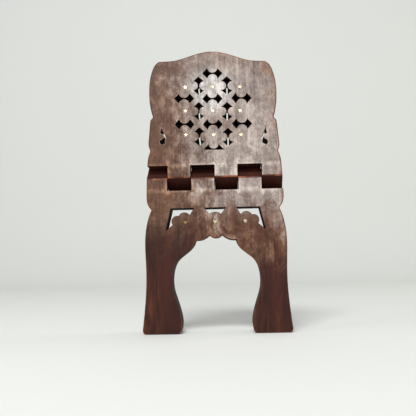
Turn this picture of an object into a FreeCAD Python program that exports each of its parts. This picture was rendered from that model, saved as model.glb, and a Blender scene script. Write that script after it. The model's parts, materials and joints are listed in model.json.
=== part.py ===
import FreeCAD, Part
import math
import os
import random
import Sketcher

# Folding book stand carved from one plank. The plank is split along its thickness into a front and a
# rear layer, except at six interlocked fingers halfway up, which are the hinge. Each leaf is one solid
# piece of wood: the upper layer on one face of the plank and the lower layer on the other, joined through
# its own three fingers. The stand is modelled folded flat and standing on its feet.
# X is across the plank, Y goes from the front face to the rear face, Z is up. The origin is on the floor
# under the middle of the plank. Millimetres.

document = FreeCAD.newDocument("BookStand")
sheet = document.addObject("Spreadsheet::Sheet", "sizes")

SIZES = {
    "plank_height": 305,
    "plank_thick": 26,
    "blank_width": 164,
    "saw_gap": 1.2,
    "hinge_height": 166,
    "notch_reach": 13.5,
    "finger_pitch": 25.4,
    "finger_gap": 0.45,
    "star_radius": 2.7,
    "star_waist": 1.15,
    "inlay_depth": 1.2,
    "inlay_thick": 1.6,
    "star_column": 29.8,
    "star_row": 26.4,
    "top_star_height": 264.9,
    "apron_star_height": 118.0,
    "apron_star_column": 32.0,
    "lattice_across": 15.4,
    "lattice_up": 28.2,
    "lattice_base": 196.0,
    "lattice_slope": 0.2,
    "lying_reach": 10.9,
    "lying_peak": 5.6,
    "upright_reach": 10.1,
    "upright_peak": 4.9,
    "bow_width": 5.9,
    "bow_neck": 0.75,
    "bow_wander": 0.45,
    "bow_spread": 0.06,
    "board_lean": 0.024,
    "lean_start": 178,
    "lean_full": 196,
}
for row, (alias, value) in enumerate(SIZES.items(), start=1):
    sheet.set(f"A{row}", alias)
    sheet.set(f"B{row}", str(value))
    sheet.setAlias(f"B{row}", alias)
document.recompute()


def size(alias):
    return float(sheet.get(alias))


def origin_plane(body, role):
    for feature in body.Origin.OriginFeatures:
        if feature.Role == role:
            return feature
    raise RuntimeError(f"no {role} in {body.Label}")


def new_sketch(body, name, role):
    sketch = body.newObject("Sketcher::SketchObject", name)
    sketch.AttachmentSupport = [(origin_plane(body, role), "")]
    sketch.MapMode = "FlatFace"
    return sketch


def point(across, up):
    return FreeCAD.Vector(across, up, 0)


def fix_point(sketch, edge, end, across, up):
    """Tie one end of an edge to two formulas in the sheet's names."""
    for kind, formula in (("DistanceX", across), ("DistanceY", up)):
        here = sketch.getPoint(edge, end)
        now = here.x if kind == "DistanceX" else here.y
        index = sketch.addConstraint(Sketcher.Constraint(kind, -1, 1, edge, end, now))
        sketch.setExpression(f"Constraints[{index}]", formula)


def value_of(formula):
    """The number a formula in the sheet's names stands for, to place the point before it is tied."""
    holder = document.addObject("App::FeaturePython", "holder")
    holder.addProperty("App::PropertyFloat", "number")
    holder.setExpression("number", formula)
    document.recompute()
    number = holder.number
    document.removeObject(holder.Name)
    return number


def polygon(sketch, corners):
    """A closed outline of straight edges whose corners are given as pairs of formulas."""
    places = [point(value_of(across), value_of(up)) for across, up in corners]
    first = sketch.GeometryCount
    count = len(corners)
    for number in range(count):
        sketch.addGeometry(Part.LineSegment(places[number], places[(number + 1) % count]), False)
    for number in range(count):
        following = first + (number + 1) % count
        sketch.addConstraint(Sketcher.Constraint("Coincident", first + number, 2, following, 1))
    for number, (across, up) in enumerate(corners):
        fix_point(sketch, first + number, 1, across, up)


def leaned(across, up):
    """A height on the board above the hinge, which was laid out out of square: lower on its right."""
    share = (up - size("lean_start")) / (size("lean_full") - size("lean_start"))
    return up - size("board_lean") * across * min(1, max(0, share))


def level(across, up):
    return up


def trace(sketch, start, steps, side=1, height=leaned):
    """Draw joined edges: a step of one point is a line, of two an arc and of more a smooth curve."""
    here = point(side * start[0], height(side * start[0], start[1]))
    for step in steps:
        places = [point(side * across, height(side * across, up)) for across, up in step]
        if len(places) == 1:
            edge = Part.LineSegment(here, places[0])
        elif len(places) == 2:
            edge = Part.Arc(here, places[0], places[1])
        else:
            edge = Part.BSplineCurve()
            edge.interpolate([here] + places)
        sketch.addGeometry(edge, False)
        here = places[-1]


def side_outline():
    """The right half of the plank's silhouette, from the middle of the crest round to the arch."""
    crown = [(8, 304.4), (16.5, 302.4), (29.6, 298.1), (41.6, 294.9), (50, 294.2), (58, 293.9)]
    cheek = [(62.5, 290.2), (65.8, 283.4), (68.8, 270.4), (69.4, 256.4), (68.3, 243.4), (65.4, 231.8)]
    step_out = [(68.4, 228.7)]
    upper_lobe = [(69.1, 222.5), (70.3, 209), (70.8, 201.3), (68.7, 194.9)]
    hinge_lobe = [(71.2, 188.5), (72.6, 176), (73.3, 163), (73.6, 150), (73.2, 140.2), (68.5, 132.2)]
    thigh = [(72.2, 122.5), (75, 108.5), (75.8, 95), (75.3, 78)]
    shin = [(74.9, 58), (76.5, 30), (78.2, 14), (79.3, 4.6)]
    toe = [(78.2, 1.3), (75, 0)]
    sole = [(42.8, 0)]
    heel = [(39.6, 1.3), (38.1, 4.8)]
    arch = [
        (37.6, 11),
        (39.5, 22.3),
        (43, 34.2),
        (46.5, 45.7),
        (47.4, 55.7),
        (46, 66.7),
        (41.8, 76.2),
        (34, 83.2),
        (25.8, 90.2),
        (21.8, 98.2),
    ]
    side_scallop = [(14.4, 99), (6.9, 103.8)]
    middle_scallop = [(3.7, 101.4), (0, 100.6)]
    return [
        crown,
        cheek,
        step_out,
        upper_lobe,
        hinge_lobe,
        thigh + shin,
        toe,
        sole,
        heel,
        arch,
        side_scallop,
        middle_scallop,
    ]


def draw_silhouette(sketch):
    """A frame larger than the plank with the silhouette inside it: the wood sawn away."""
    edge = "sizes.blank_width / 2 + 4"
    polygon(
        sketch,
        [
            (f"-({edge})", "-4"),
            (edge, "-4"),
            (edge, "sizes.plank_height + 4"),
            (f"-({edge})", "sizes.plank_height + 4"),
        ],
    )
    crest = (0, size("plank_height"))
    for side in (1, -1):
        trace(sketch, crest, side_outline(), side)


def lattice_drop():
    """How far the sloping lattice comes down between the front face and the middle of the plank."""
    return size("lattice_slope") * size("plank_thick") / 2


def draw_bow(sketch, centre, upright, larger):
    """A piercing like a bow: two diamonds joined by a neck between two round bites."""
    kind = "upright" if upright else "lying"
    reach = size(kind + "_reach")
    peak = size(kind + "_peak")
    width = size("bow_width") * larger
    neck = size("bow_neck") * larger
    outline = [
        [(peak, width)],
        [(0, neck), (-peak, width)],
        [(-reach, 0)],
        [(-peak, -width)],
        [(0, -neck), (peak, -width)],
        [(reach, 0)],
    ]

    def place(along, aside):
        if upright:
            return (centre[0] + aside, centre[1] + along)
        return (centre[0] + along, centre[1] + aside)

    steps = [[place(*corner) for corner in step] for step in outline]
    trace(sketch, place(reach, 0), steps)


def draw_lattice(sketch):
    """Lying and upright bows on a square net, each a little off its place and size, as cut by hand."""
    hand = random.Random(4)
    across = size("lattice_across")
    up = size("lattice_up")
    base = size("lattice_base") - lattice_drop()
    lying = [(column, row) for row in (1, 2) for column in (-2, 0, 2)] + [(0, 3)]
    upright = [(column, row) for row in (0.5, 1.5, 2.5) for column in (-1, 1)]
    for column, row in lying + upright:
        off_across = hand.uniform(-1, 1) * size("bow_wander")
        off_up = hand.uniform(-1, 1) * size("bow_wander")
        larger = 1 + hand.uniform(-1, 1) * size("bow_spread")
        centre = (column * across + off_across, base + row * up + off_up)
        draw_bow(sketch, centre, (column, row) in upright, larger)
    # The lowest piercing is the upper half of a wider bow on a straight base.
    half_bow = [
        [(11.3, base)],
        [(5.5, base + 6)],
        [(0, base + 1), (-5.5, base + 6)],
        [(-11.3, base)],
    ]
    trace(sketch, (-11.3, base), half_bow)


def draw_drop(sketch, side):
    """A leaf-shaped piercing: a sharp tip, a barb, a round bump of wood and a round foot."""
    tip = (56.3, 222.4)
    steps = [
        [(57.6, 213.6)],
        [(54, 210), (56.2, 207.4)],
        [(55.8, 201.4), (52.9, 206)],
        [(52, 208.6), (53, 212.4), (54.6, 215.8), tip],
    ]
    trace(sketch, tip, steps, side)


def draw_side_slot(sketch, side):
    """An opening under the hinge band, whose lower edge is two round petals of wood."""
    corner = (22.9, 133.2)
    steps = [
        [(47.6, 133.2)],
        [(53.3, 109.5)],
        [(45.8, 115.6)],
        [(46.2, 122.3), (39.2, 125)],
        [(33.4, 128.8), (27.4, 125.6)],
        [corner],
    ]
    trace(sketch, corner, steps, side)


def draw_middle_slot(sketch):
    steps = [
        [(11.2, 133.2)],
        [(6.3, 126.5)],
        [(0, 128.8), (-6.3, 126.5)],
        [(-11.2, 133.2)],
    ]
    trace(sketch, (-11.2, 133.2), steps)


def star_outline(centre):
    """A five-pointed star with one point up."""
    corners = []
    for number in range(10):
        radius = size("star_radius") if number % 2 == 0 else size("star_waist")
        angle = math.radians(90 - 36 * number)
        corners.append((centre[0] + radius * math.cos(angle), centre[1] + radius * math.sin(angle)))
    return corners


def draw_star(sketch, centre):
    corners = star_outline(centre)
    trace(sketch, corners[0], [[corner] for corner in corners[1:] + corners[:1]], height=level)


def cut(body, name, sketch, depth, both_ways=False, backwards=False, slope=0):
    """Pocket a sketch, square or sloping down to the rear, and make sure that it took wood away."""
    document.recompute()
    before = body.Shape.Volume
    pocket = body.newObject("PartDesign::Pocket", name)
    pocket.Profile = sketch
    pocket.SideType = "Symmetric" if both_ways else "One side"
    pocket.setExpression("Length", depth)
    pocket.Reversed = backwards
    if slope:
        pocket.UseCustomVector = True
        pocket.Direction = FreeCAD.Vector(0, 1, -slope)
    document.recompute()
    if not body.Shape.Volume < before - 0.1:
        raise RuntimeError(f"{name} of {body.Label} cuts nothing")
    return pocket


def star_places(front):
    """The middles of the nine upper stars and the three apron stars on one face of the plank."""
    top = size("top_star_height") if front else size("top_star_height") - 2 * lattice_drop()
    upper = []
    for row in range(3):
        for column in (-1, 0, 1):
            across = column * size("star_column")
            upper.append((across, leaned(across, top - row * size("star_row"))))
    apron = []
    for column in (-1, 0, 1):
        apron.append((column * size("apron_star_column"), size("apron_star_height")))
    return upper, apron


def recess_stars(body, name, places, front):
    sketch = new_sketch(body, name, "XZ_Plane")
    sign = "" if front else "-"
    sketch.setExpression("AttachmentOffset.Base.z", f"{sign}sizes.plank_thick / 2")
    for place in places:
        draw_star(sketch, place)
    cut(body, name + "_cut", sketch, "sizes.inlay_depth", backwards=not front)


def make_leaf(label, upper_is_front):
    """One leaf: its upper layer, its fingers and its lower layer, in one piece."""
    body = document.addObject("PartDesign::Body", label)
    body.Label = label
    front = "" if upper_is_front else "-"
    back = "-" if upper_is_front else ""
    half = "sizes.plank_thick / 2"
    gap = "sizes.saw_gap / 2"
    hinge = "sizes.hinge_height"

    # The section across the hinge: two layers joined by a finger with two 45 degree ramps.
    section = new_sketch(body, label + "_section", "YZ_Plane")
    polygon(
        section,
        [
            (f"{back}({half})", "sizes.plank_height"),
            (f"{back}({half})", f"{hinge} + {gap}"),
            (f"{front}({gap})", f"{hinge} - {half}"),
            (f"{front}({gap})", "0"),
            (f"{front}({half})", "0"),
            (f"{front}({half})", f"{hinge} - {gap}"),
            (f"{back}({gap})", f"{hinge} + {half}"),
            (f"{back}({gap})", "sizes.plank_height"),
        ],
    )
    pad = body.newObject("PartDesign::Pad", label + "_blank")
    pad.Profile = section
    pad.SideType = "Symmetric"
    pad.setExpression("Length", "sizes.blank_width")
    document.recompute()

    silhouette = new_sketch(body, label + "_silhouette", "XZ_Plane")
    draw_silhouette(silhouette)
    cut(body, label + "_sawn", silhouette, "2 * sizes.plank_thick", both_ways=True)

    # Room for the other leaf's three fingers, on every second place along the hinge.
    notches = new_sketch(body, label + "_notches", "XZ_Plane")
    side_gap = "sizes.finger_gap / 2"
    first = -3 if upper_is_front else -2
    for place in (first, first + 2, first + 4):
        left = f"{place} * sizes.finger_pitch - {side_gap}"
        right = f"{place + 1} * sizes.finger_pitch + {side_gap}"
        if place == -3:
            left = "-sizes.blank_width / 2 - 2"
        if place == 2:
            right = "sizes.blank_width / 2 + 2"
        low = f"{hinge} - sizes.notch_reach"
        high = f"{hinge} + sizes.notch_reach"
        polygon(notches, [(left, low), (right, low), (right, high), (left, high)])
    cut(body, label + "_notched", notches, "2 * sizes.plank_thick", both_ways=True)

    # The lattice is pierced through both leaves at once, sloping down to the rear.
    lattice = new_sketch(body, label + "_lattice", "XZ_Plane")
    draw_lattice(lattice)
    through = "2 * sizes.plank_thick"
    cut(body, label + "_latticed", lattice, through, both_ways=True, slope=size("lattice_slope"))

    piercing = new_sketch(body, label + "_piercing", "XZ_Plane")
    draw_middle_slot(piercing)
    for side in (1, -1):
        draw_drop(piercing, side)
        draw_side_slot(piercing, side)
    cut(body, label + "_pierced", piercing, through, both_ways=True)

    upper, _ = star_places(upper_is_front)
    recess_stars(body, label + "_upper_recess", upper, upper_is_front)
    _, apron = star_places(not upper_is_front)
    recess_stars(body, label + "_apron_recess", apron, not upper_is_front)
    return body


def make_star(label, place, front):
    """A brass star let into the wood, standing a little proud of it."""
    body = document.addObject("PartDesign::Body", label)
    body.Label = label
    sketch = new_sketch(body, label + "_outline", "XZ_Plane")
    draw_star(sketch, (0, 0))
    pad = body.newObject("PartDesign::Pad", label + "_plate")
    pad.Profile = sketch
    pad.setExpression("Length", "sizes.inlay_thick")
    floor = size("plank_thick") / 2 - size("inlay_depth")
    turn = 0 if front else 180
    depth = -floor if front else floor
    body.Placement = FreeCAD.Placement(
        FreeCAD.Vector(place[0], depth, place[1]),
        FreeCAD.Rotation(FreeCAD.Vector(0, 0, 1), turn),
    )
    return body


pieces = [
    make_leaf("leaf_front_top", True),
    make_leaf("leaf_rear_top", False),
]
for face, is_front in (("front", True), ("rear", False)):
    upper_places, apron_places = star_places(is_front)
    for number, spot in enumerate(upper_places, start=1):
        pieces.append(make_star(f"{face}_upper_star_{number}", spot, is_front))
    for number, spot in enumerate(apron_places, start=1):
        pieces.append(make_star(f"{face}_apron_star_{number}", spot, is_front))
document.recompute()

for item in document.Objects:
    if "Invalid" in item.State or "Error" in item.State:
        raise RuntimeError(f"{item.Label} failed: {item.State}")
for piece in pieces:
    shape = piece.Shape
    if shape.isNull() or not shape.isValid() or len(shape.Solids) != 1:
        raise RuntimeError(f"{piece.Label} is not one valid solid")

os.makedirs("parts", exist_ok=True)
for piece in pieces:
    piece.Shape.exportStep(f"parts/{piece.Label}.step")
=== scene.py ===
import json
import math

import bmesh
import bpy
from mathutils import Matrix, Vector

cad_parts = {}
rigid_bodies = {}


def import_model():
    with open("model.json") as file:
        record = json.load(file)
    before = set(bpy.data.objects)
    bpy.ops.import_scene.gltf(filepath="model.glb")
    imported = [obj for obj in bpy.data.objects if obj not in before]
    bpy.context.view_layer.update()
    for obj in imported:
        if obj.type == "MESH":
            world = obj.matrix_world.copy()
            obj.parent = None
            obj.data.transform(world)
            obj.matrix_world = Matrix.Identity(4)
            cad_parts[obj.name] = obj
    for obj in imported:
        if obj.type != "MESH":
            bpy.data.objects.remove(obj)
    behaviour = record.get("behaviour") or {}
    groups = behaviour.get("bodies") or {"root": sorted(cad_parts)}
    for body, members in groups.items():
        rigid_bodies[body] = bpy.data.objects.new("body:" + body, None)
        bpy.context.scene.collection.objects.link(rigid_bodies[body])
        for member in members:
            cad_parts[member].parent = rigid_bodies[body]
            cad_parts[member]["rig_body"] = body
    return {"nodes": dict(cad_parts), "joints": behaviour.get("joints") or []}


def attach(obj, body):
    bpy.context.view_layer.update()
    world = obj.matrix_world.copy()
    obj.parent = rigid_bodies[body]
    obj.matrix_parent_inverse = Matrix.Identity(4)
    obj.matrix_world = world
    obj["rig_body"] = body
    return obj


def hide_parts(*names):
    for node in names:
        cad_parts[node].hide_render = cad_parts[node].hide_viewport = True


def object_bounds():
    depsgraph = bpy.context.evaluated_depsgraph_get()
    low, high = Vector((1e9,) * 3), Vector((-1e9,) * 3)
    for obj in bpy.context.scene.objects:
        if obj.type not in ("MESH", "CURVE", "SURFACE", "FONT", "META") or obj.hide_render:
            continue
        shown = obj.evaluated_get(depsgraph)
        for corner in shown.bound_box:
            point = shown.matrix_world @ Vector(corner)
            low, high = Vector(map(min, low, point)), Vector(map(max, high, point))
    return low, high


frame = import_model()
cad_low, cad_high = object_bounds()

# Metres and degrees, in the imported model's own frame:
# X across the stand, -Y out of its front, Z up from the floor.

# How far each kind of edge is rubbed round.
EDGE_ROUND = 0.0011
RIDGE_ROUND = 0.001
NOTCH_ROUND = 0.0003
GAP_ROUND = 0.0004
HOLE_ROUND = 0.0003
STAR_ROUND = 0.00018

# The hinge: its axis, the pitch of its fingers, and the reach of its notches above and below the axis.
HINGE_HEIGHT = frame["joints"][0]["pos_m"][2]
FINGER_PITCH = 0.0254
NOTCH_REACH = 0.0135
HINGE_ZONE = 0.0145
HINGE_HALF_WIDTH = 0.066

# Each group of piercings: its lowest and highest height, and its reach to either side of the middle.
PANEL_HOLES = (0.190, 0.292, 0.048)
DROP_HOLES = (0.198, 0.224, 0.063)
SLOT_HOLES = (0.1065, 0.1345, 0.0545)

# Edges flatter than this stay as they are, and shading is smooth below the sharp angle.
WORN_ANGLE = 28
SHARP_ANGLE = 35
MERGE_DISTANCE = 0.000002

# The pale film, part handling haze and part painted sheen: the heights between which it builds up, and the
# painted bright spot of sheen on the panel.
HAZE_SHEEN_START = 0.064
HAZE_SHEEN_FULL = 0.15
SHEEN_SPOT_CENTRE = 0.262
SHEEN_SPOT_REACH = 0.036

FLOOR_SIZE = 6.0
BACKDROP_DISTANCE = 1.1
BACKDROP_HEIGHT = 1.6
BACKDROP_BEND = 0.25
BEND_STEPS = 8
WORLD_STRENGTH = 0.28
WARM_LIGHT = (1.0, 0.93, 0.84)

CAMERA_DISTANCE = 0.582
CAMERA_HEIGHT = 0.086
CAMERA_PITCH = 4.6
CAMERA_ROLL = 1.2
CAMERA_ASIDE = 0.012
CAMERA_TURN = 2.02
CAMERA_LENS = 47.25


# ---------------------------------------------------------------- node helpers
class Nodes:
    """Short calls for building one material's node tree."""

    def __init__(self, name):
        self.material = bpy.data.materials.new(name)
        self.material.use_nodes = True
        self.tree = self.material.node_tree
        self.tree.nodes.clear()
        output = self.tree.nodes.new("ShaderNodeOutputMaterial")
        self.shader = self.tree.nodes.new("ShaderNodeBsdfPrincipled")
        self.join(self.shader.outputs["BSDF"], output.inputs["Surface"])
        self.place = self.tree.nodes.new("ShaderNodeTexCoord").outputs["Object"]
        apart = self.tree.nodes.new("ShaderNodeSeparateXYZ")
        self.join(self.place, apart.inputs["Vector"])
        self.across = apart.outputs["X"]
        self.up = apart.outputs["Z"]

    def join(self, start, end):
        self.tree.links.new(start, end)

    def set(self, socket, value):
        if isinstance(value, bpy.types.NodeSocket):
            self.join(value, socket)
        else:
            socket.default_value = value

    def stretched(self, scale, shift=(0, 0, 0), turn=(0, 0, 0)):
        """The place on the piece, scaled along each axis: a small Z draws a noise out along the grain."""
        node = self.tree.nodes.new("ShaderNodeMapping")
        self.join(self.place, node.inputs["Vector"])
        node.inputs["Scale"].default_value = scale
        node.inputs["Location"].default_value = shift
        node.inputs["Rotation"].default_value = turn
        return node.outputs["Vector"]

    def noise(self, vector, scale, detail=6.0, roughness=0.6, distortion=0.0):
        node = self.tree.nodes.new("ShaderNodeTexNoise")
        self.join(vector, node.inputs["Vector"])
        node.inputs["Scale"].default_value = scale
        node.inputs["Detail"].default_value = detail
        node.inputs["Roughness"].default_value = roughness
        node.inputs["Distortion"].default_value = distortion
        return node.outputs["Fac"]

    def band(self, value, low, high, out_low=0.0, out_high=1.0):
        """Map low..high to out_low..out_high with a smooth start and end, held outside."""
        node = self.tree.nodes.new("ShaderNodeMapRange")
        node.interpolation_type = "SMOOTHSTEP"
        self.set(node.inputs["Value"], value)
        node.inputs["From Min"].default_value = low
        node.inputs["From Max"].default_value = high
        node.inputs["To Min"].default_value = out_low
        node.inputs["To Max"].default_value = out_high
        return node.outputs["Result"]

    def math(self, operation, first, second=0.0):
        node = self.tree.nodes.new("ShaderNodeMath")
        node.operation = operation
        self.set(node.inputs[0], first)
        self.set(node.inputs[1], second)
        return node.outputs["Value"]

    def product(self, first, *others):
        for other in others:
            first = self.math("MULTIPLY", first, other)
        return first

    def mix(self, amount, first, second):
        node = self.tree.nodes.new("ShaderNodeMix")
        node.data_type = "RGBA"
        self.set(node.inputs["Factor"], amount)
        self.set(node.inputs[6], first)
        self.set(node.inputs[7], second)
        return node.outputs[2]

    def bump(self, height, distance, strength=1.0, normal=None):
        node = self.tree.nodes.new("ShaderNodeBump")
        self.join(height, node.inputs["Height"])
        node.inputs["Distance"].default_value = distance
        node.inputs["Strength"].default_value = strength
        if normal is not None:
            self.join(normal, node.inputs["Normal"])
        return node.outputs["Normal"]

    def finish(self, colour, roughness, relief):
        """Give the shader its colour, roughness and surface relief, and return the material."""
        self.join(colour, self.shader.inputs["Base Color"])
        self.join(roughness, self.shader.inputs["Roughness"])
        self.join(relief, self.shader.inputs["Normal"])
        return self.material


def tint(red, green, blue):
    """A colour given as it looks on screen, 0 to 255, as the linear colour a shader takes."""
    linear = []
    for part in (red, green, blue):
        part /= 255
        linear.append(part / 12.92 if part <= 0.04045 else ((part + 0.055) / 1.055) ** 2.4)
    return (*linear, 1.0)


# ---------------------------------------------------------------- materials
class Grain:
    """The noises shared by every stained wood, and the colour of the wood before it is worn."""

    def __init__(self, n):
        wide_place = n.stretched((1.0, 1.0, 0.07))
        fine_place = n.stretched((1.0, 1.0, 0.045))
        blotch_place = n.stretched((1.0, 1.0, 0.6), (0.3, 0.1, 0.2))
        warm_place = n.stretched((1.0, 1.0, 0.16), (0.9, 0.3, 0.6))
        self.wide = n.noise(wide_place, 42, 5, 0.6, 0.2)
        self.fine = n.noise(fine_place, 280, 4, 0.65)
        self.blotch = n.noise(blotch_place, 24, 6, 0.65, 0.5)
        self.warm = n.noise(warm_place, 30, 6, 0.7, 0.4)

    def colour(self, n):
        """Stain blotches under wide streaks, warm patches and dark pores."""
        colour = n.mix(n.band(self.blotch, 0.32, 0.68), tint(38, 11, 7), tint(61, 23, 15))
        colour = n.mix(n.band(self.wide, 0.48, 0.7, 0.0, 0.35), colour, tint(90, 42, 26))
        colour = n.mix(n.band(self.warm, 0.54, 0.7, 0.0, 0.3), colour, tint(146, 82, 46))
        return n.mix(n.band(self.fine, 0.52, 0.72, 0.0, 0.6), colour, tint(26, 9, 6))


def haze_and_sheen_area(n, cloud, scuff):
    """How much pale film is painted in each place, part handling haze and part painted sheen: most on the
    panel's middle, where a bright spot of painted sheen sits, none on the legs.
    """
    rising = n.math("ADD", n.up, n.math("MULTIPLY", n.across, 0.12))
    uneven = n.math("ADD", rising, n.band(cloud, 0.25, 0.75, -0.035, 0.035))
    below_top = n.band(n.up, 0.27, 0.3, 1.0, 0.86)
    height = n.product(n.band(uneven, HAZE_SHEEN_START, HAZE_SHEEN_FULL), below_top)
    # The spherical spot is a painted bright spot of sheen in the panel's middle.
    middle = n.tree.nodes.new("ShaderNodeTexGradient")
    middle.gradient_type = "SPHERICAL"
    reach = n.stretched((1 / SHEEN_SPOT_REACH, 0.0, 1 / SHEEN_SPOT_REACH), (0.0, 0.0, -SHEEN_SPOT_CENTRE / SHEEN_SPOT_REACH))
    n.join(reach, middle.inputs["Vector"])
    spread = n.math("ADD", n.band(middle.outputs["Fac"], 0.1, 0.9, 0.0, 0.42), 0.54)
    lean = n.math("MULTIPLY", n.math("SUBTRACT", n.up, SHEEN_SPOT_CENTRE), 0.22)
    leaning = n.math("ADD", n.across, lean)
    aslant = n.math("ADD", leaning, n.band(scuff, 0.3, 0.7, -0.02, 0.02))
    # The film, with its painted sheen, fades towards either side.
    from_left = n.band(aslant, -0.072, -0.01, 0.42, 1.0)
    from_right = n.band(aslant, 0.055, 0.078, 1.0, 0.6)
    return n.product(n.product(height, spread), n.product(from_left, from_right))


def haze_and_sheen_breaks(n, cloud, scuff, grain):
    """How the haze and painted sheen are broken up by scuffs, clouds, streaks, specks, pores and slanting
    scratches.
    """
    streak = n.noise(n.stretched((1.0, 1.0, 0.1), (0.4, 0.7, 0.2)), 150, 5, 0.7, 0.3)
    speck = n.noise(n.stretched((1.0, 1.0, 0.7)), 330, 5, 0.75)
    scratch_place = n.stretched((1.0, 1.0, 0.05), (0.2, 0.0, 0.4), (0.0, 1.15, 0.0))
    scratch = n.noise(scratch_place, 190, 3, 0.6, 0.15)
    broken = n.product(
        n.band(scuff, 0.4, 0.6, 0.68, 1.16),
        n.band(cloud, 0.4, 0.6, 0.7, 1.1),
        n.band(streak, 0.35, 0.65, 0.88, 1.1),
        n.band(grain.warm, 0.52, 0.68, 1.0, 0.7),
        n.band(speck, 0.38, 0.62, 0.78, 1.16),
        n.band(grain.fine, 0.5, 0.72, 1.05, 0.66),
    )
    return n.math("ADD", broken, n.band(scratch, 0.6, 0.68, 0.0, 0.3))


def gripped_and_highlit_corners(n, scuff):
    """Extra pale film round the fingers' corners and lips: part rubbing where the leaves are gripped and
    turned, part painted highlight.
    """
    beside = n.band(n.math("PINGPONG", n.across, FINGER_PITCH / 2), 0.0, 0.005, 1.0, 0.0)
    from_hinge = n.math("ABSOLUTE", n.math("SUBTRACT", n.up, HINGE_HEIGHT))
    from_lip = n.math("ABSOLUTE", n.math("SUBTRACT", from_hinge, NOTCH_REACH))
    lip = n.band(from_lip, 0.0, 0.004, 0.6, 0.0)
    corner = n.product(n.math("MAXIMUM", beside, lip), n.band(from_hinge, 0.014, 0.022, 1.0, 0.0))
    return n.product(corner, n.band(scuff, 0.38, 0.6, 0.0, 0.5))


def make_wood(name):
    """Dark sheesham under an old rubbed polish: hazed by handling, with a painted sheen on the panel, dull
    where it has worn thin.
    """
    n = Nodes(name)
    grain = Grain(n)
    cloud = n.noise(n.stretched((1.0, 1.0, 0.8), (0.7, 0.2, 0.5)), 24, 7, 0.68, 0.8)
    scuff = n.noise(n.stretched((1.0, 1.0, 0.7), (0.1, 0.4, 0.9)), 95, 9, 0.75, 0.3)
    amount = haze_and_sheen_area(n, cloud, scuff)
    haze_and_sheen = n.product(amount, haze_and_sheen_breaks(n, cloud, scuff, grain))
    haze_and_sheen = n.math("ADD", haze_and_sheen, gripped_and_highlit_corners(n, scuff))
    # The film runs from a warm rubbed haze to a pale grey painted sheen where it is thickest.
    film_and_sheen_colour = n.mix(n.band(amount, 0.15, 0.75), tint(196, 150, 116), tint(219, 213, 208))
    colour = n.mix(haze_and_sheen, grain.colour(n), film_and_sheen_colour)
    rough = n.math("ADD", n.band(scuff, 0.3, 0.75, 0.36, 0.56), n.band(grain.fine, 0.5, 0.8, 0.0, 0.15))
    ripple = n.noise(n.stretched((1.0, 1.0, 0.6)), 45, 3, 0.5)
    relief = n.bump(ripple, 0.0015, 0.6)
    relief = n.bump(grain.wide, 0.0006, 0.6, relief)
    relief = n.bump(grain.fine, 0.0003, 0.7, relief)
    n.shader.inputs["Specular IOR Level"].default_value = 0.25
    n.shader.inputs["Coat Weight"].default_value = 0.05
    n.shader.inputs["Coat Roughness"].default_value = 0.36
    return n.finish(colour, rough, relief)


def make_worn_edge(name):
    """Edges rubbed through the stain to paler, orange-brown wood, with the stain left in places."""
    n = Nodes(name)
    grain = Grain(n)
    rub = n.noise(n.stretched((1.0, 1.0, 0.5), (0.5, 0.8, 0.3)), 45, 7, 0.7, 0.5)
    handled = n.band(n.up, 0.06, 0.18, 0.3, 1.0)
    bare = n.product(n.band(rub, 0.44, 0.64, 0.1, 0.9), handled)
    colour = n.mix(bare, grain.colour(n), tint(170, 104, 68))
    n.shader.inputs["Specular IOR Level"].default_value = 0.25
    return n.finish(colour, n.band(rub, 0.3, 0.7, 0.42, 0.62), n.bump(grain.fine, 0.0003, 0.6))


def make_rim_highlight(name):
    """The rims of the piercings: stain chipped to pale bare wood, the pale also standing in as a painted
    highlight where the rims catch the light.
    """
    n = Nodes(name)
    chip = n.noise(n.stretched((1.0, 1.0, 0.8), (0.2, 0.6, 0.1)), 130, 6, 0.7, 0.4)
    colour = n.mix(n.band(chip, 0.4, 0.6, 0.1, 0.9), Grain(n).colour(n), tint(206, 186, 168))
    return n.finish(colour, n.band(chip, 0.3, 0.7, 0.45, 0.65), n.bump(chip, 0.0003, 0.5))


def make_plain_cut(name, stain, share, roughness):
    """Unpolished wood, mixed by the given share toward a flat colour (a stain, or painted shade for the
    hole walls), with its grain just showing.
    """
    n = Nodes(name)
    grain = Grain(n)
    colour = n.mix(share, grain.colour(n), stain)
    rough = n.band(grain.fine, 0.3, 0.8, roughness - 0.1, roughness + 0.1)
    n.shader.inputs["Specular IOR Level"].default_value = 0.12
    return n.finish(colour, rough, n.bump(grain.fine, 0.0004, 0.8))


def make_brass(name, tarnish):
    """Soft old brass: bright where it is rubbed, browned in patches, with fine scratches."""
    n = Nodes(name)
    stain = n.noise(n.stretched((1.0, 1.0, 1.0)), 420, 4, 0.6, 0.4)
    scratch = n.noise(n.stretched((1.0, 1.0, 0.2), turn=(0, 0.6, 0)), 2400, 3, 0.6)
    browned = n.band(stain, 0.5, 0.72, tarnish, 0.6 + 0.4 * tarnish)
    colour = n.mix(browned, tint(242, 226, 186), tint(150, 110, 66))
    rough = n.math("ADD", n.band(stain, 0.3, 0.75, 0.2, 0.5), n.band(scratch, 0.4, 0.7, 0.0, 0.12))
    n.shader.inputs["Metallic"].default_value = 1.0
    return n.finish(colour, rough, n.bump(scratch, 0.00003, 0.6))


wood = make_wood("stained_wood")
worn = make_worn_edge("worn_wood_edge")
# Pale rims: chipped bare wood, and a painted highlight of rims catching the light.
rim_and_highlight = make_rim_highlight("chipped_rim_and_highlight")
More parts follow.
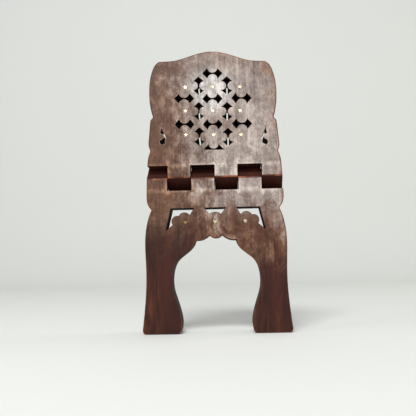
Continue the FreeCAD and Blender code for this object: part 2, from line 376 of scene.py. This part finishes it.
# Near-black wood for the walls inside the piercings and hinge gaps: painted shade of the deep recesses.
shaded_cut_wood = make_plain_cut("shaded_cut_wood", tint(14, 6, 5), share=0.9, roughness=0.8)
ramp_wood = make_plain_cut("ramp_wood", tint(60, 31, 25), share=0.7, roughness=0.5)
side_wood = make_plain_cut("side_wood", tint(48, 24, 19), share=0.45, roughness=0.65)
inner_wood = make_plain_cut("inner_wood", tint(92, 56, 42), share=0.55, roughness=0.5)
brass = make_brass("old_brass", tarnish=0.0)
dull_brass = make_brass("dull_brass", tarnish=0.85)


# ---------------------------------------------------------------- the CAD pieces
# A leaf's material slots. The order counts: from the shaded cut slot on they are the walls inside holes
# and hinge, the hole walls painted near black as shade.
WOOD_SLOT, SIDE_SLOT, INNER_SLOT, EDGE_SLOT, RIM_HIGHLIGHT_SLOT, CUT_SLOT, RAMP_SLOT = range(7)
LEAF_MATERIALS = (wood, side_wood, inner_wood, worn, rim_and_highlight, shaded_cut_wood, ramp_wood)

# Each kind of wear, in the order it is cut: how far it rounds, in how many steps, and the wood it shows.
WEARS = {
    "outline": (EDGE_ROUND, 3, EDGE_SLOT),
    "ridge": (RIDGE_ROUND, 2, EDGE_SLOT),
    "notch": (NOTCH_ROUND, 2, SIDE_SLOT),
    "gap": (GAP_ROUND, 2, SIDE_SLOT),
    "hole": (HOLE_ROUND, 2, RIM_HIGHLIGHT_SLOT),
}


def wood_slot_of(face):
    """Which wood a face of the leaf shows: polished, or bare inside the piercings and the hinge, where the
    walls are painted near black as shade.
    """
    across, depth, up = face.calc_center_median()
    if abs(face.normal.y) > 0.8:
        return INNER_SLOT if abs(depth) < 0.002 else WOOD_SLOT
    in_hinge = abs(up - HINGE_HEIGHT) < HINGE_ZONE
    if in_hinge and abs(across) < HINGE_HALF_WIDTH:
        return RAMP_SLOT if abs(face.normal.x) < 0.3 else CUT_SLOT
    if in_hinge and abs(face.normal.y) > 0.3:
        return RAMP_SLOT
    for lowest, highest, half_width in (PANEL_HOLES, DROP_HOLES, SLOT_HOLES):
        if lowest < up < highest and abs(across) < half_width:
            return CUT_SLOT
    return SIDE_SLOT


def wear_of(edge):
    """The kind of wear an edge has, or None for an edge left alone."""
    if len(edge.link_faces) != 2 or edge.calc_face_angle() < math.radians(WORN_ANGLE):
        return None
    slots = [face.material_index for face in edge.link_faces]
    if min(slots) >= CUT_SLOT or (INNER_SLOT in slots and max(slots) >= CUT_SLOT):
        return None
    if max(slots) >= CUT_SLOT:
        middle = (edge.verts[0].co + edge.verts[1].co) / 2
        if middle.z > HINGE_HEIGHT + HINGE_ZONE:
            return "hole"
        along = edge.verts[1].co - edge.verts[0].co
        on_axis = abs(middle.z - HINGE_HEIGHT) < 0.002
        return "ridge" if on_axis and abs(along.x) > 0.9 * along.length else "notch"
    return "gap" if INNER_SLOT in slots else "outline"


def carve_leaf(node, body):
    """A leaf's finished wood: the CAD leaf with each kind of edge rubbed round by its own amount."""
    shape = bmesh.new()
    shape.from_mesh(node.data)
    bmesh.ops.remove_doubles(shape, verts=shape.verts, dist=MERGE_DISTANCE)
    for face in shape.faces:
        face.material_index = wood_slot_of(face)
        face.smooth = True
    for kind, (amount, steps, slot) in WEARS.items():
        bmesh.ops.bevel(
            shape,
            geom=[edge for edge in shape.edges if wear_of(edge) == kind],
            offset=amount,
            segments=steps,
            profile=0.5,
            affect="EDGES",
            clamp_overlap=False,
            material=slot,
        )
    mesh = bpy.data.meshes.new(node.name + "_carved")
    shape.to_mesh(mesh)
    shape.free()
    for material in LEAF_MATERIALS:
        mesh.materials.append(material)
    mesh.set_sharp_from_angle(angle=math.radians(SHARP_ANGLE))
    leaf = bpy.data.objects.new(node.name + "_carved", mesh)
    bpy.context.scene.collection.objects.link(leaf)
    flat_faces = leaf.modifiers.new("flat_faces", "WEIGHTED_NORMAL")
    flat_faces.keep_sharp = True
    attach(leaf, body)
    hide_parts(node.name)


def dress_star(node, metal):
    """A brass star: the CAD star itself, with its mesh joined up and its edges eased."""
    node.data.materials.clear()
    node.data.materials.append(metal)
    weld = node.modifiers.new("weld", "WELD")
    weld.merge_threshold = MERGE_DISTANCE
    bevel = node.modifiers.new("rounded_edges", "BEVEL")
    bevel.width = STAR_ROUND
    bevel.segments = 2
    bevel.limit_method = "ANGLE"


for name, node in frame["nodes"].items():
    if name.startswith("leaf"):
        carve_leaf(node, node["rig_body"])
    else:
        dress_star(node, dull_brass if name == "front_apron_star_1" else brass)


# ---------------------------------------------------------------- floor, light, camera
def make_floor():
    """A wide pale floor that bends up into a backdrop behind the stand."""
    mesh = bpy.data.meshes.new("floor")
    half = FLOOR_SIZE / 2
    bend_start = BACKDROP_DISTANCE - BACKDROP_BEND
    profile = [(-half, 0.0), (bend_start, 0.0)]
    for step in range(1, BEND_STEPS + 1):
        angle = step / BEND_STEPS * math.pi / 2
        forward = bend_start + BACKDROP_BEND * math.sin(angle)
        profile.append((forward, BACKDROP_BEND - BACKDROP_BEND * math.cos(angle)))
    profile.append((BACKDROP_DISTANCE, BACKDROP_HEIGHT))
    corners = []
    for forward, up in profile:
        corners.append((-half, forward, up))
        corners.append((half, forward, up))
    faces = []
    for step in range(len(profile) - 1):
        faces.append((2 * step, 2 * step + 1, 2 * step + 3, 2 * step + 2))
    mesh.from_pydata(corners, [], faces)
    for polygon in mesh.polygons:
        polygon.use_smooth = True
    floor = bpy.data.objects.new("floor", mesh)
    bpy.context.scene.collection.objects.link(floor)
    paint = bpy.data.materials.new("pale_floor")
    paint.use_nodes = True
    shader = paint.node_tree.nodes["Principled BSDF"]
    shader.inputs["Base Color"].default_value = tint(230, 232, 228)
    shader.inputs["Roughness"].default_value = 0.8
    mesh.materials.append(paint)


def add_softbox(name, place, target, size, power, colour=(1, 1, 1)):
    """A rectangular area light of the given width and height in metres and power in watts."""
    data = bpy.data.lights.new(name, "AREA")
    data.shape = "RECTANGLE"
    data.size, data.size_y = size
    data.energy = power
    data.color = colour
    light = bpy.data.objects.new(name, data)
    bpy.context.scene.collection.objects.link(light)
    light.location = place
    light.rotation_euler = (Vector(target) - Vector(place)).to_track_quat("-Z", "Y").to_euler()


make_floor()
add_softbox("key", (-0.25, -1.0, 1.6), target=(0, 0, 0.2), size=(0.7, 0.5), power=22)
add_softbox("sheen", (0.0, -1.9, 0.95), target=(0, 0, 0.25), size=(0.9, 0.6), power=9)
add_softbox("left_fill", (-1.6, -0.6, 0.7), target=(0, 0, 0.15), size=(0.8, 1.0), power=5)
add_softbox("right_warm", (1.3, 0.3, 0.8), target=(0, 0, 0.2), size=(0.6, 0.8), power=4, colour=WARM_LIGHT)

world = bpy.data.worlds.new("studio")
world.use_nodes = True
background = world.node_tree.nodes["Background"]
background.inputs["Color"].default_value = (0.9, 0.92, 0.95, 1)
background.inputs["Strength"].default_value = WORLD_STRENGTH
bpy.context.scene.world = world
bpy.context.scene.view_settings.view_transform = "Standard"

camera_data = bpy.data.cameras.new("camera")
camera_data.sensor_width = 36
camera_data.lens = CAMERA_LENS
camera_data.clip_start = 0.01
camera = bpy.data.objects.new("camera", camera_data)
bpy.context.scene.collection.objects.link(camera)
camera.location = (CAMERA_ASIDE, cad_low.y - CAMERA_DISTANCE, CAMERA_HEIGHT)
camera.rotation_mode = "XYZ"
camera.rotation_euler = (
    math.radians(90 + CAMERA_PITCH),
    math.radians(CAMERA_ROLL),
    math.radians(CAMERA_TURN),
)
bpy.context.scene.camera = camera
